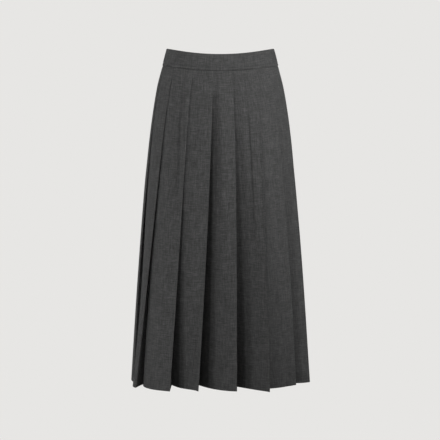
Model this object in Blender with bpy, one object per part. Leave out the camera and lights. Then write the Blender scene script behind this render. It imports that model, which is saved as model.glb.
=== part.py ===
"""Pleated maxi skirt in wool suiting, filled out as if it were worn.

The origin is the middle of the waist, half way up the waistband at the side seams. The front
faces -Y and +Z is up. Each cloth piece is a wall between an outer and an inner skin. Every point
of the cloth has an angle round the body, a drop below the waistband's top edge and a depth
inwards from the skirt's outer form. Angles run from 0 at the centre front through 90 at the
wearer's left side to 180 at the centre back. All sizes are in metres.
"""

import bmesh
import bpy
import math
from collections import namedtuple
from mathutils import Matrix, Vector

# Overall sizes
LENGTH = 0.840            # waistband's top edge to hem, at the side
BAND_HEIGHT = 0.042
FRONT_DIP = 0.017         # the waist lies this much lower at the centre front than at the side
BACK_DIP = 0.011

# Cloth
CLOTH = 0.0010            # wall of one layer
LAYER_STEP = 0.0015       # from one pressed layer to the next, middle to middle
SEAM_GAP = 0.0003
BAND_CLOTH = 0.0022       # two layers and their interlining
BAND_PROUD = 0.0008       # the band stands out this much past the pleats' middle line

# Pleats
STITCHED_TO = 0.135       # the form follows the body closely down to this drop
SPREAD_POWER = 0.9
RELEASED_AT = 0.075       # the pleats are held down to this drop and open below it
WAIST_UNDERLAY = 0.026    # depth of the pressed fold under each pleat, at the waist
HEM_UNDERLAY = 0.015
FREE_POINTS = 2           # cloth points between one fold and the next pleat's underlay
STITCHED_ROWS = 3
OPEN_ROWS = 11
BAND_ROWS = 4
BAND_COLUMN_DEG = 7.5

# Zip at the centre back
ZIP_ROWS = 5              # the zip ends at this row of the skirt, counted from the seam
CENTRE_BACK_FOLD = 11     # the fold whose underlay covers the zip, as a row of FOLDS
BEHIND_BAND_TO = 0.034    # above this drop the tape lies behind the band
UNDER_PLEATS_IN = 0.006   # and this much further down under the pleats
BETWEEN_DROPS = (0.036, 0.038, 0.0405)
TAPE_TOP = 0.002
TAPE_TURN = 0.002         # the tape's edge comes in beside the chain over this length
TAPE_CLOTH = 0.0008
TAPE_EDGE = 0.0125
CHAIN_HALF_WIDTH = 0.0016
CHAIN_THICK = 0.0016
CHAIN_TO_TAPE_END = 0.012
STOP_LENGTH, STOP_PROUD = 0.005, 0.0004
SLIDER_DROP = 0.006       # the slider's middle below the band's top edge
SLIDER_INNER = (0.0040, 0.0028)     # half width and thickness of the body behind the band
SLIDER_TOP, SLIDER_BOTTOM = 0.0040, -0.0050
SLIDER_END_DROP = 0.0127  # just below the slider's lowest corner
NECK_HALF_WIDTH, NECK_TOP, NECK_BOTTOM = 0.0009, 0.0030, -0.0035
NOTCH_HALF_WIDTH, NOTCH_HALF_DEPTH = 0.0013, 0.010
NOTCH_TOP, NOTCH_BOTTOM = 0.020, -0.0045
JOINED_IN = 0.0005        # joined parts reach this far into each other
FACE_HALF_WIDTH, FACE_OUT = 0.0026, 0.0015
ARCH_HALF_WIDTH, ARCH_IN, ARCH_OUT = 0.00075, 0.00325, 0.0041
ARCH_TOP, ARCH_BOTTOM, ARCH_LEG = 0.0028, -0.0032, 0.0010
ARCH_OPENING_HALF_WIDTH = 0.002
PIVOT_UP, PIVOT_OUT = -0.0013, 0.0024
PULL_THICK = 0.0011
PULL_LENGTH = 0.020
PULL_END_STEPS = 12
PULL_TOP_ROUND = 0.9      # share of half the plate's thickness
WINDOW_LENGTH = 0.0042
WINDOW_HALF_WIDTH, PULL_TOP_HALF_WIDTH, PULL_END_HALF_WIDTH = 0.00125, 0.0026, 0.0034

Section = namedtuple("Section", "drop half_width front_depth back_depth")
SECTIONS = (
    Section(0.000, 0.1340, 0.0930, 0.0930),
    Section(0.042, 0.1450, 0.1000, 0.1010),
    Section(0.100, 0.1600, 0.1105, 0.1190),
    Section(0.180, 0.1735, 0.1200, 0.1350),
    Section(0.270, 0.1845, 0.1265, 0.1415),
    Section(0.400, 0.1975, 0.1340, 0.1455),
    Section(0.600, 0.2140, 0.1430, 0.1500),
    Section(0.840, 0.2305, 0.1515, 0.1560),
)

# Each row is one fold edge: its angle at the waist and at the hem, how far its edge reaches at
# the hem as a share of the skirt's form, how deep the hollow behind it is at the hem, how late
# that hollow opens, from 1, evenly, to 3, late, and how full the panel in front of the fold is,
# from 0.8, hollow, through 1, flat, to 3, full.
Fold = namedtuple("Fold", "name waist_deg hem_deg reach depth opening fullness")
FOLDS = (
    Fold("front_right_side", -51.5, -52.0, 1.155, 0.044, 2.2, 2.2),
    Fold("front_right_hip", -27.2, -28.9, 1.110, 0.060, 2.5, 2.6),
    Fold("front_right_middle", -6.8, -13.5, 1.000, 0.064, 1.0, 1.0),
    Fold("front_left_middle", 11.5, 10.4, 0.985, 0.058, 1.15, 1.5),
    Fold("front_left_hip", 33.5, 27.5, 1.130, 0.038, 2.6, 0.85),
    Fold("front_left_side", 54.0, 59.0, 0.960, 0.028, 1.0, 1.1),
    Fold("left_seam_front", 79.0, 74.0, 1.025, 0.036, 1.3, 1.4),
    Fold("left_seam_back", 105.0, 102.0, 1.000, 0.044, 0.95, 1.6),
    Fold("back_left_side", 130.0, 127.0, 1.070, 0.048, 1.8, 1.8),
    Fold("back_left_hip", 151.5, 150.0, 1.080, 0.050, 1.0, 1.2),
    Fold("back_left_middle", 171.0, 169.0, 1.000, 0.046, 1.4, 1.5),
    Fold("back_right_middle", 191.3, 189.5, 1.020, 0.052, 1.1, 1.1),
    Fold("back_right_hip", 210.5, 209.0, 1.090, 0.048, 2.0, 1.7),
    Fold("back_right_side", 232.0, 230.0, 1.060, 0.045, 1.05, 1.3),
    Fold("right_seam_back", 257.0, 256.0, 1.015, 0.042, 1.5, 1.8),
    Fold("right_seam_front", 285.5, 286.0, 0.995, 0.044, 2.6, 2.8),
)


def smooth_step(share):
    share = min(max(share, 0.0), 1.0)
    return share * share * (3.0 - 2.0 * share)


def mix(first, second, share):
    return first + (second - first) * share


def section_slope(column, row):
    """The rate of change of one size at a section, as the mean of its two sides."""
    below = max(row - 1, 0)
    above = min(row + 1, len(SECTIONS) - 1)
    rise = getattr(SECTIONS[above], column) - getattr(SECTIONS[below], column)
    return rise / (SECTIONS[above].drop - SECTIONS[below].drop)


def section_size(column, drop):
    """One size of the skirt's form at a drop, on a smooth curve through the sections."""
    drop = min(max(drop, SECTIONS[0].drop), SECTIONS[-1].drop)
    row = max(i for i in range(len(SECTIONS) - 1) if SECTIONS[i].drop <= drop)
    low, high = SECTIONS[row], SECTIONS[row + 1]
    span = high.drop - low.drop
    share = (drop - low.drop) / span
    rise = smooth_step(share)
    lean_low = share * (1.0 - share) ** 2 * span * section_slope(column, row)
    lean_high = share ** 2 * (1.0 - share) * span * section_slope(column, row + 1)
    return mix(getattr(low, column), getattr(high, column), rise) + lean_low - lean_high


def spread(drop):
    """How far the form has left its smooth shape, from 0 at the hip to 1 at the hem."""
    share = max(drop - STITCHED_TO, 0.0) / (LENGTH - STITCHED_TO)
    return share ** SPREAD_POWER


def hollow(fold, drop):
    """Depth of the hollow behind a fold edge, from 0 where the pleats are still held."""
    share = max(drop - RELEASED_AT, 0.0) / (LENGTH - RELEASED_AT)
    return fold.depth * share ** fold.opening


def waist_dip(angle):
    dip = FRONT_DIP if math.cos(angle) > 0.0 else BACK_DIP
    return dip * math.cos(angle) ** 2


def height(angle, drop):
    """Height of a drop at an angle. The waist dips in front and behind, and the hem is level."""
    level_share = (1.0 - drop / LENGTH) ** 1.5
    return BAND_HEIGHT / 2.0 - drop - waist_dip(angle) * level_share


def fold_angle(fold, drop):
    share = max(drop - STITCHED_TO, 0.0) / (LENGTH - STITCHED_TO)
    return math.radians(mix(fold.waist_deg, fold.hem_deg, share ** 1.3))


def reach(angle, drop):
    """How far the form stands out at an angle, worked out between the two folds beside it."""
    turn = 2.0 * math.pi
    marks = [(fold_angle(fold, drop), fold.reach) for fold in FOLDS]
    marks = [(marks[-1][0] - turn, marks[-1][1])] + marks + [(marks[0][0] + turn, marks[0][1])]
    angle = (angle - marks[0][0]) % turn + marks[0][0]
    for (low, low_reach), (high, high_reach) in zip(marks, marks[1:]):
        if low <= angle <= high:
            share = smooth_step((angle - low) / (high - low))
            return 1.0 + (mix(low_reach, high_reach, share) - 1.0) * spread(drop) ** 1.5
    return 1.0


def cloth_point(angle, drop, depth):
    """The point at an angle and a drop, this far inwards from the skirt's outer form."""
    half_width = section_size("half_width", drop)
    side = "front_depth" if math.cos(angle) > 0.0 else "back_depth"
    half_depth = section_size(side, drop)
    across = Vector((half_width * math.sin(angle), -half_depth * math.cos(angle)))
    inwards = Vector((-math.sin(angle) * half_depth, math.cos(angle) * half_width)).normalized()
    place = across * reach(angle, drop) + inwards * depth
    return Vector((place.x, place.y, height(angle, drop)))


def turn_for(angle, drop, distance):
    """The angle that spans a distance along the skirt's form."""
    half_width = section_size("half_width", drop)
    side = "front_depth" if math.cos(angle) > 0.0 else "back_depth"
    half_depth = section_size(side, drop)
    radius = math.hypot(half_width * math.cos(angle), half_depth * math.sin(angle))
    return distance / radius


def inner_fold(fold, drop):
    """The two corners of the hidden fold behind a pleat, as (angle, depth) pairs.

    The second corner, where the next panel starts, is one layer away from the first at right
    angles to the underlay, so that the two layers stay apart however steeply it runs in.
    """
    edge = fold_angle(fold, drop)
    width = mix(WAIST_UNDERLAY, HEM_UNDERLAY, spread(drop))
    deep = hollow(fold, drop)
    length = math.hypot(width, deep)
    angle = edge - turn_for(edge, drop, width)
    aside = turn_for(edge, drop, LAYER_STEP * deep / length)
    depth = LAYER_STEP + deep
    return (angle, depth), (angle + aside, depth + LAYER_STEP * width / length)


def pleat_path(before, fold, drop):
    """One pleat's cloth in a level section, as (angle, depth) pairs.

    It starts at the inner fold under the pleat before it, comes out past that pleat's edge,
    crosses its own panel to its own edge, and goes back under to its own inner fold.
    """
    start = fold_angle(before, drop)
    start_fold, deepest = inner_fold(before, drop)[1]
    edge = fold_angle(fold, drop)
    inner, inner_depth = inner_fold(fold, drop)[0]
    if edge < start:
        start, start_fold = start - 2.0 * math.pi, start_fold - 2.0 * math.pi
    hollow_before = hollow(before, drop)

    def face_depth(angle):
        across = (angle - start_fold) / (edge - start_fold)
        pressed = min(max(1.0 - (angle - start) / (inner - start), 0.0), 1.0)
        fallen_in = hollow_before * (1.0 - across) ** fold.fullness
        return (deepest - hollow_before) * pressed + fallen_in

    face = [start_fold, mix(start_fold, start, 0.5)]
    face += [mix(start, inner, i / (FREE_POINTS + 1)) for i in range(FREE_POINTS + 2)]
    face += [mix(inner, edge, 0.5), edge]
    path = [(angle, face_depth(angle)) for angle in face]
    path += [
        (edge, LAYER_STEP),
        (mix(edge, inner, 0.5), mix(LAYER_STEP, inner_depth, 0.5)),
        (inner, inner_depth),
    ]
    return path


def skins(line, thickness):
    """The outer and the inner skin of a wall whose middle line is given in a level section."""
    flat = [Vector((point.x, point.y)) for point in line]
    sides = []
    for low, high in zip(flat, flat[1:]):
        along = (high - low).normalized()
        sides.append(Vector((along.y, -along.x)))
    outer, inner = [], []
    for i, point in enumerate(line):
        first = sides[max(i - 1, 0)]
        second = sides[min(i, len(sides) - 1)]
        mitre = (first + second) / (1.0 + first.dot(second))
        offset = Vector((mitre.x, mitre.y, 0.0)) * (thickness / 2.0)
        outer.append(point + offset)
        inner.append(point - offset)
    return outer, inner


def cloth_material(name, colour, roughness, metallic=0.0):
    material = bpy.data.materials.new(name)
    material.use_nodes = True
    shader = material.node_tree.nodes["Principled BSDF"]
    shader.inputs["Base Color"].default_value = (*colour, 1.0)
    shader.inputs["Roughness"].default_value = roughness
    shader.inputs["Metallic"].default_value = metallic
    return material


def add_object(name, mesh, material):
    mesh.materials.append(material)
    made = bpy.data.objects.new(name, mesh)
    bpy.context.scene.collection.objects.link(made)
    return made


def wall(name, rows, material):
    """A closed wall from rows of (outer skin, inner skin), top row first."""
    shape = bmesh.new()
    outer = [[shape.verts.new(point) for point in row[0]] for row in rows]
    inner = [[shape.verts.new(point) for point in row[1]] for row in rows]
    last = len(outer[0]) - 1
    for high, low in zip(range(len(rows)), range(1, len(rows))):
        for i in range(last):
            shape.faces.new((outer[low][i], outer[low][i + 1], outer[high][i + 1], outer[high][i]))
            shape.faces.new((inner[high][i + 1], inner[low][i + 1], inner[low][i], inner[high][i]))
        for end in (0, last):
            shape.faces.new((outer[high][end], inner[high][end], inner[low][end], outer[low][end]))
    for edge in (0, len(rows) - 1):
        for i in range(last):
            shape.faces.new((outer[edge][i], outer[edge][i + 1], inner[edge][i + 1], inner[edge][i]))
    bmesh.ops.recalc_face_normals(shape, faces=shape.faces)
    mesh = bpy.data.meshes.new(name)
    shape.to_mesh(mesh)
    shape.free()
    made = add_object(name, mesh, material)
    mesh.shade_smooth()
    mesh.set_sharp_from_angle(angle=math.radians(40.0))
    return made


def skirt_drops():
    """Drops of the skirt's rows: a few where it is sewn shut, then even ones down to the hem."""
    top = BAND_HEIGHT + SEAM_GAP / 2.0
    sewn = [mix(top, STITCHED_TO, i / STITCHED_ROWS) for i in range(STITCHED_ROWS)]
    loose = [mix(STITCHED_TO, LENGTH, i / OPEN_ROWS) for i in range(OPEN_ROWS + 1)]
    return sewn + loose


def skirt_panel(name, first, count, material):
    """A pleated panel of this many folds, from the first one on, between two seams."""
    rows = []
    for drop in skirt_drops():
        pairs = []
        for i in range(first, first + count):
            pairs += pleat_path(FOLDS[i - 1], FOLDS[i], drop)
        line = [cloth_point(angle, drop, depth) for angle, depth in pairs]
        rows.append(skins(line, CLOTH))
    return wall(name, rows, material)


def waistband(name, start_deg, end_deg, material):
    """A stretch of the waistband between two of its seams."""
    columns = round((end_deg - start_deg) / BAND_COLUMN_DEG)
    rows = []
    for i in range(BAND_ROWS):
        drop = mix(0.0, BAND_HEIGHT - SEAM_GAP / 2.0, i / (BAND_ROWS - 1))
        outer, inner = [], []
        for j in range(columns + 1):
            angle = math.radians(mix(start_deg, end_deg, j / columns))
            if j == 0:
                angle += turn_for(angle, drop, SEAM_GAP / 2.0)
            if j == columns:
                angle -= turn_for(angle, drop, SEAM_GAP / 2.0)
            outer.append(cloth_point(angle, drop, -BAND_PROUD))
            inner.append(cloth_point(angle, drop, BAND_CLOTH - BAND_PROUD))
        rows.append((outer, inner))
    return wall(name, rows, material)


def box(name, low, high, material, parent):
    """A box between two corners in its parent's own axes."""
    shape = bmesh.new()
    size = [high[i] - low[i] for i in range(3)]
    middle = [(high[i] + low[i]) / 2.0 for i in range(3)]
    bmesh.ops.create_cube(shape, size=1.0)
    bmesh.ops.transform(shape, matrix=Matrix.Diagonal((*size, 1.0)), verts=shape.verts)
    bmesh.ops.translate(shape, vec=middle, verts=shape.verts)
    mesh = bpy.data.meshes.new(name)
    shape.to_mesh(mesh)
    shape.free()
    made = add_object(name, mesh, material)
    made.parent = parent
    return made


def combine(target, tool, operation):
    """Joins a tool to the target or cuts it out. The tool isn't rendered."""
    tool.hide_render = True
    tool.display_type = "WIRE"
    change = target.modifiers.new(tool.name, "BOOLEAN")
    change.operation = operation
    change.solver = "EXACT"
    change.object = tool


def zip_frame():
    """An empty on the band's outer face at the centre back: Y points out and Z up along the band."""
    top = cloth_point(math.pi, 0.0, -BAND_PROUD)
    bottom = cloth_point(math.pi, BAND_HEIGHT, -BAND_PROUD)
    up = (top - bottom).normalized()
    frame = bpy.data.objects.new("zip_frame", None)
    bpy.context.scene.collection.objects.link(frame)
    frame.location = top - up * SLIDER_DROP
    frame.rotation_euler = (math.atan2(-up.y, up.z), 0.0, 0.0)
    return frame


def tape_depth(drop):
    """Depth of the zip tape's middle: behind the band, then under the pleats' innermost layer."""
    behind_band = BAND_CLOTH - BAND_PROUD + SEAM_GAP + TAPE_CLOTH / 2.0
    innermost = 2.0 * LAYER_STEP + CLOTH / 2.0 + hollow(FOLDS[CENTRE_BACK_FOLD], drop)
    under_pleats = innermost + 2.0 * SEAM_GAP + TAPE_CLOTH / 2.0
    return mix(behind_band, under_pleats, smooth_step((drop - BEHIND_BAND_TO) / UNDER_PLEATS_IN))


def tape_drops(top):
    """The zip's rows. Below the band they are the skirt's own, so the zip lies flat under it."""
    inside_band = [top, SLIDER_END_DROP, SLIDER_END_DROP + TAPE_TURN, BEHIND_BAND_TO]
    return inside_band + list(BETWEEN_DROPS) + skirt_drops()[:ZIP_ROWS]


def strip(name, drops, edges, thickness, material):
    """A thin strip down the centre back. edges gives its two edges, across, at a drop."""
    rows = []
    for drop in drops:
        depth = tape_depth(drop) - TAPE_CLOTH / 2.0
        low, high = edges(drop)
        outer, inner = [], []
        for share in (0.0, 0.5, 1.0):
            across = mix(low, high, share)
            angle = math.pi - turn_for(math.pi, drop, across)
            outer.append(cloth_point(angle, drop, depth))
            inner.append(cloth_point(angle, drop, depth + thickness))
        rows.append((outer, inner))
    return wall(name, rows, material)


def tape_inner_edge(drop):
    """The tape's edge keeps clear of the slider's body, and below it runs beside the chain."""
    beside_slider = SLIDER_INNER[0] + SEAM_GAP
    beside_chain = CHAIN_HALF_WIDTH + SEAM_GAP
    below_slider = (drop - SLIDER_END_DROP) / TAPE_TURN
    return mix(beside_slider, beside_chain, min(max(below_slider, 0.0), 1.0))


def zip_slider(frame, metal):
    """The slider: its body behind the band, a neck through the notch, its face and its arch."""
    half_width, thick = SLIDER_INNER
    back = -BAND_CLOTH - SEAM_GAP
    slider = box(
        "zip_slider",
        (-half_width, back - thick, SLIDER_BOTTOM),
        (half_width, back, SLIDER_TOP),
        metal,
        frame,
    )
    neck = box(
        "slider_neck",
        (-NECK_HALF_WIDTH, back - JOINED_IN, NECK_BOTTOM),
        (NECK_HALF_WIDTH, SEAM_GAP + JOINED_IN, NECK_TOP),
        metal,
        frame,
    )
    face = box(
        "slider_face",
        (-FACE_HALF_WIDTH, SEAM_GAP, SLIDER_BOTTOM),
        (FACE_HALF_WIDTH, FACE_OUT, SLIDER_TOP),
        metal,
        frame,
    )
    arch = box(
        "slider_arch",
        (-ARCH_HALF_WIDTH, FACE_OUT - JOINED_IN, ARCH_BOTTOM),
        (ARCH_HALF_WIDTH, ARCH_OUT, ARCH_TOP),
        metal,
        frame,
    )
    opening = box(
        "slider_arch_opening",
        (-ARCH_OPENING_HALF_WIDTH, FACE_OUT, ARCH_BOTTOM + ARCH_LEG),
        (ARCH_OPENING_HALF_WIDTH, ARCH_IN, ARCH_TOP - ARCH_LEG),
        metal,
        frame,
    )
    combine(arch, opening, "DIFFERENCE")
    for tool in (neck, face, arch):
        combine(slider, tool, "UNION")


def pull_outline():
    """The pull's outline from its top right corner round the drop-shaped end, pivot at 0, 0."""
    top = PULL_THICK / 2.0
    end_radius = PULL_END_HALF_WIDTH
    end_middle = end_radius - PULL_LENGTH
    points = [(PULL_TOP_HALF_WIDTH, top), (-PULL_TOP_HALF_WIDTH, top)]
    for i in range(PULL_END_STEPS + 1):
        turn = math.pi + math.pi * i / PULL_END_STEPS
        points.append((end_radius * math.cos(turn), end_middle + end_radius * math.sin(turn)))
    return points


def zip_pull(frame, metal):
    """The pull: a drop-shaped plate whose window goes round the slider's arch."""
    pivot = bpy.data.objects.new("pull_pivot", None)
    bpy.context.scene.collection.objects.link(pivot)
    pivot.parent = frame
    pivot.location = (0.0, PIVOT_OUT, PIVOT_UP)
    shape = bmesh.new()
    half = PULL_THICK / 2.0
    corners = [shape.verts.new((x, -half, z)) for x, z in pull_outline()]
    plate = shape.faces.new(corners)
    pushed = bmesh.ops.extrude_face_region(shape, geom=[plate])
    moved = [item for item in pushed["geom"] if isinstance(item, bmesh.types.BMVert)]
    bmesh.ops.translate(shape, vec=(0.0, PULL_THICK, 0.0), verts=moved)
    bmesh.ops.recalc_face_normals(shape, faces=shape.faces)
    rounded = half * PULL_TOP_ROUND
    top_edges = [
        edge for edge in shape.edges
        if all(vert.co.z > rounded for vert in edge.verts)
        and edge.verts[0].co.y * edge.verts[1].co.y > 0.0
    ]
    bmesh.ops.bevel(shape, geom=top_edges, offset=rounded, segments=3, profile=0.5, affect="EDGES")
    mesh = bpy.data.meshes.new("zip_pull")
    shape.to_mesh(mesh)
    shape.free()
    pull = add_object("zip_pull", mesh, metal)
    pull.parent = pivot
    window = box(
        "pull_window",
        (-WINDOW_HALF_WIDTH, -PULL_THICK, -half - WINDOW_LENGTH),
        (WINDOW_HALF_WIDTH, PULL_THICK, -half),
        metal,
        pivot,
    )
    combine(pull, window, "DIFFERENCE")


def zip_parts(frame, tape_cloth, metal):
    zip_slider(frame, metal)
    zip_pull(frame, metal)
    strip(
        "zip_tape_left",
        tape_drops(TAPE_TOP),
        lambda drop: (tape_inner_edge(drop), TAPE_EDGE),
        TAPE_CLOTH,
        tape_cloth,
    )
    strip(
        "zip_tape_right",
        tape_drops(TAPE_TOP),
        lambda drop: (-TAPE_EDGE, -tape_inner_edge(drop)),
        TAPE_CLOTH,
        tape_cloth,
    )
    chain_end = skirt_drops()[ZIP_ROWS - 1] - CHAIN_TO_TAPE_END
    between = [drop for drop in tape_drops(TAPE_TOP) if BEHIND_BAND_TO <= drop < chain_end]
    strip(
        "zip_chain",
        [SLIDER_END_DROP] + between + [chain_end],
        lambda drop: (-CHAIN_HALF_WIDTH, CHAIN_HALF_WIDTH),
        CHAIN_THICK,
        tape_cloth,
    )
    strip(
        "zip_stop",
        [chain_end + SEAM_GAP, chain_end + STOP_LENGTH],
        lambda drop: (-CHAIN_HALF_WIDTH, CHAIN_HALF_WIDTH),
        CHAIN_THICK + STOP_PROUD,
        metal,
    )


def cut_notch(frame, band, material):
    """Cuts the slider's notch into one end of the band at the centre back."""
    notch = box(
        f"{band.name}_notch",
        (-NOTCH_HALF_WIDTH, -NOTCH_HALF_DEPTH, NOTCH_BOTTOM),
        (NOTCH_HALF_WIDTH, NOTCH_HALF_DEPTH, NOTCH_TOP),
        material,
        frame,
    )
    combine(band, notch, "DIFFERENCE")


def main():
    for old in list(bpy.data.objects):
        bpy.data.objects.remove(old)
    wool = cloth_material("charcoal_wool", (0.066, 0.066, 0.065), 0.9)
    tape_cloth = cloth_material("zip_tape", (0.03, 0.03, 0.032), 0.85)
    metal = cloth_material("zip_metal", (0.10, 0.10, 0.105), 0.4, metallic=0.8)
    waistband("waistband_front", -90.0, 90.0, wool)
    band_left = waistband("waistband_back_left", 90.0, 180.0, wool)
    band_right = waistband("waistband_back_right", 180.0, 270.0, wool)
    skirt_panel("skirt_front", 0, 8, wool)
    skirt_panel("skirt_back_left", 8, 4, wool)
    skirt_panel("skirt_back_right", 12, 4, wool)
    frame = zip_frame()
    zip_parts(frame, tape_cloth, metal)
    for band in (band_left, band_right):
        cut_notch(frame, band, wool)


main()
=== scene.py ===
import math
from collections import namedtuple
from functools import cache

import bmesh
import bpy
from mathutils import Matrix, Vector


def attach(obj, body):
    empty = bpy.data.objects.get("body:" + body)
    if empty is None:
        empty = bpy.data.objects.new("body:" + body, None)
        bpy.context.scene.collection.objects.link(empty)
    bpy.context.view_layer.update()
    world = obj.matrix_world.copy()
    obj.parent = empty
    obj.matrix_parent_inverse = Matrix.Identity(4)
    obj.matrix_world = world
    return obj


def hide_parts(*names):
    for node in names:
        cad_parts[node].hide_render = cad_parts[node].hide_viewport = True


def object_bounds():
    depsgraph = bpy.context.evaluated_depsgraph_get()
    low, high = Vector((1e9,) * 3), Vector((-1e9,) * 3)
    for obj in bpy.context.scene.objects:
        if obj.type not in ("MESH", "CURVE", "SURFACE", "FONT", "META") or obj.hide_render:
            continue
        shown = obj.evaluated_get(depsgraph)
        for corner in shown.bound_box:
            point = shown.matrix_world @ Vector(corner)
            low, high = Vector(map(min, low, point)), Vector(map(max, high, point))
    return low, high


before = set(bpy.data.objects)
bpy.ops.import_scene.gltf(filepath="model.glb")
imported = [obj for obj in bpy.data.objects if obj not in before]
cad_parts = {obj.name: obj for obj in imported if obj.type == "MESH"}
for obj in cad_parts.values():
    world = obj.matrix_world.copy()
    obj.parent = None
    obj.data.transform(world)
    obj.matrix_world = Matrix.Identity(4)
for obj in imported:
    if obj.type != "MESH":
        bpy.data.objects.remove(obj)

CAD_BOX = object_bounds()
TURN = 2.0 * math.pi

# The skirt's form. A point of the cloth has an angle round the body, from 0 at the centre front
# through 90 at the wearer's left to 180 at the centre back, a drop below the waistband's top
# edge and a depth inwards from the outer form. Sizes are in metres.
LENGTH = CAD_BOX[1].z - CAD_BOX[0].z
TOP = CAD_BOX[1].z
BAND_HEIGHT = 2.0 * TOP
FRONT_DIP, BACK_DIP = 0.017, 0.011  # the level lines dip this much at the waist
DIP_FADE = 1.5  # and less towards the hem, by this power
STITCHED_TO = 0.135  # the form follows the body closely down to this drop
SPREAD_POWER, REACH_POWER, EDGE_TURN_POWER = 0.9, 1.5, 1.3
RELEASED_AT = 0.075  # the pleats are held down to this drop and open below it
CREASE_GROWTH = 0.025  # a crease comes to its full depth over this length
LIP_DEPTH, LIP_WIDTH, LIP_PLACE = 0.0006, 0.0035, 0.0025  # raised along each pressed edge
WAIST_UNDERLAY, HEM_UNDERLAY = 0.026, 0.015
UNDERLAY_SAG = 0.05  # share of the hollow that an underlay sags by
# At the hem these are wider, so that their panels hide them as in the photo
HIDDEN_UNDERLAY = {"front_right_side": 0.022, "front_right_hip": 0.024}

# Cloth
CLOTH = 0.00045
SEWN_CLOTH = 0.00018
SEWN_STEP, PRESSED_STEP, LOOSE_STEP = 0.00020, 0.00055, 0.0015  # from layer to layer
LOOSENING = 3.0  # how fast the layers come loose as the form spreads
SEWN_FLAT = 0.030  # the sewn pleats' layers gain their full thickness over this length
TUCKED_IN = 0.004  # the skirt's top edge goes up this far between the band's layers
TUCKED_DEPTH, TUCK_BEND_FROM, TUCK_BEND = 0.0006, 0.0020, 0.0025
SEAM_VALLEY, SEAM_VALLEY_WIDTH = 0.0014, 0.0025
HEM_TURNING, HEM_CLOTH, HEM_STEP = 0.036, 0.0014, 0.0006  # height, thickness and edge
TURNING_SLOPE = 0.5  # the turning thins by this slope towards each pressed fold
HEM_ROUND, HEM_BLUNT = 0.0012, 0.35

# Points of one pleat in a level section, and rows down the skirt
FACE_POINTS, FOLD_POINTS, UNDER_POINTS, INNER_POINTS = 22, 5, 6, 3
TIP = FACE_POINTS + FOLD_POINTS // 2
EDGE_CROWDING = 0.35  # how much closer the points of a panel lie towards its fold
MITRE_LIMIT = 0.6
SKIRT_ROWS = 112
ROWS_AT_SEAM = (-TUCKED_IN, -0.0018, -0.0008, 0.0, 0.0008, 0.0018, 0.0034, 0.0056)
EVEN_ROWS_FROM, EVEN_ROWS_TO = 0.0090, 0.0045  # below the seam and above the hem
ROWS_AT_TURNING, ROWS_CLEAR_OF_TURNING = 0.0003, 0.002
ROWS_AT_HEM = (0.0012, 0.0004, 0.0)  # above the hem
PLEAT_CUT = 0.180  # one pleat's share of the weave pattern

Section = namedtuple("Section", "drop half_width front_depth back_depth")
SECTIONS = (
    Section(0.000, 0.1340, 0.0930, 0.0930),
    Section(0.042, 0.1450, 0.1000, 0.1010),
    Section(0.100, 0.1600, 0.1105, 0.1190),
    Section(0.180, 0.1735, 0.1200, 0.1350),
    Section(0.270, 0.1845, 0.1265, 0.1415),
    Section(0.400, 0.1975, 0.1340, 0.1455),
    Section(0.600, 0.2140, 0.1430, 0.1500),
    Section(0.840, 0.2305, 0.1515, 0.1560),
)

# One row for each fold edge: its angle at the waist and the hem, how far the edge reaches at
# the hem, how deep the hollow behind it is, how late that hollow opens, how full the panel in
# front of it is, and where its pressed edge starts to stand off the next panel, and by how much.
Fold = namedtuple(
    "Fold", "name waist_deg hem_deg reach depth opening fullness crease_start crease_depth"
)
FOLDS = (
    Fold("front_right_side", -51.5, -52.0, 1.155, 0.044, 2.2, 2.2, 0.075, 0.0022),
    Fold("front_right_hip", -27.2, -28.9, 1.110, 0.060, 2.9, 2.6, 0.056, 0.0021),
    Fold("front_right_middle", -6.8, -13.5, 1.000, 0.064, 1.0, 0.85, 0.095, 0.0030),
    Fold("front_left_middle", 11.5, 10.4, 0.985, 0.058, 1.15, 1.5, 0.043, 0.0025),
    Fold("front_left_hip", 33.5, 27.5, 1.130, 0.038, 2.6, 0.72, 0.090, 0.0014),
    Fold("front_left_side", 54.0, 59.0, 0.960, 0.028, 1.0, 1.1, 0.085, 0.0021),
    Fold("left_seam_front", 79.0, 74.0, 1.025, 0.036, 1.3, 1.4, 0.090, 0.0009),
    Fold("left_seam_back", 105.0, 102.0, 1.000, 0.044, 0.95, 1.6, 0.060, 0.0014),
    Fold("back_left_side", 130.0, 127.0, 1.070, 0.048, 1.8, 1.8, 0.085, 0.0010),
    Fold("back_left_hip", 151.5, 150.0, 1.080, 0.050, 1.0, 1.2, 0.048, 0.0016),
    Fold("back_left_middle", 171.0, 169.0, 1.000, 0.046, 1.4, 1.5, 0.100, 0.0013),
    Fold("back_right_middle", 191.3, 189.5, 1.020, 0.052, 1.1, 1.1, 0.075, 0.0016),
    Fold("back_right_hip", 210.5, 209.0, 1.090, 0.048, 2.0, 1.7, 0.110, 0.0008),
    Fold("back_right_side", 232.0, 230.0, 1.060, 0.045, 1.05, 1.3, 0.055, 0.0015),
    Fold("right_seam_back", 257.0, 256.0, 1.015, 0.042, 1.5, 1.8, 0.095, 0.0010),
    Fold("right_seam_front", 285.5, 286.0, 0.995, 0.044, 2.6, 2.8, 0.120, 0.0004),
)

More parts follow.
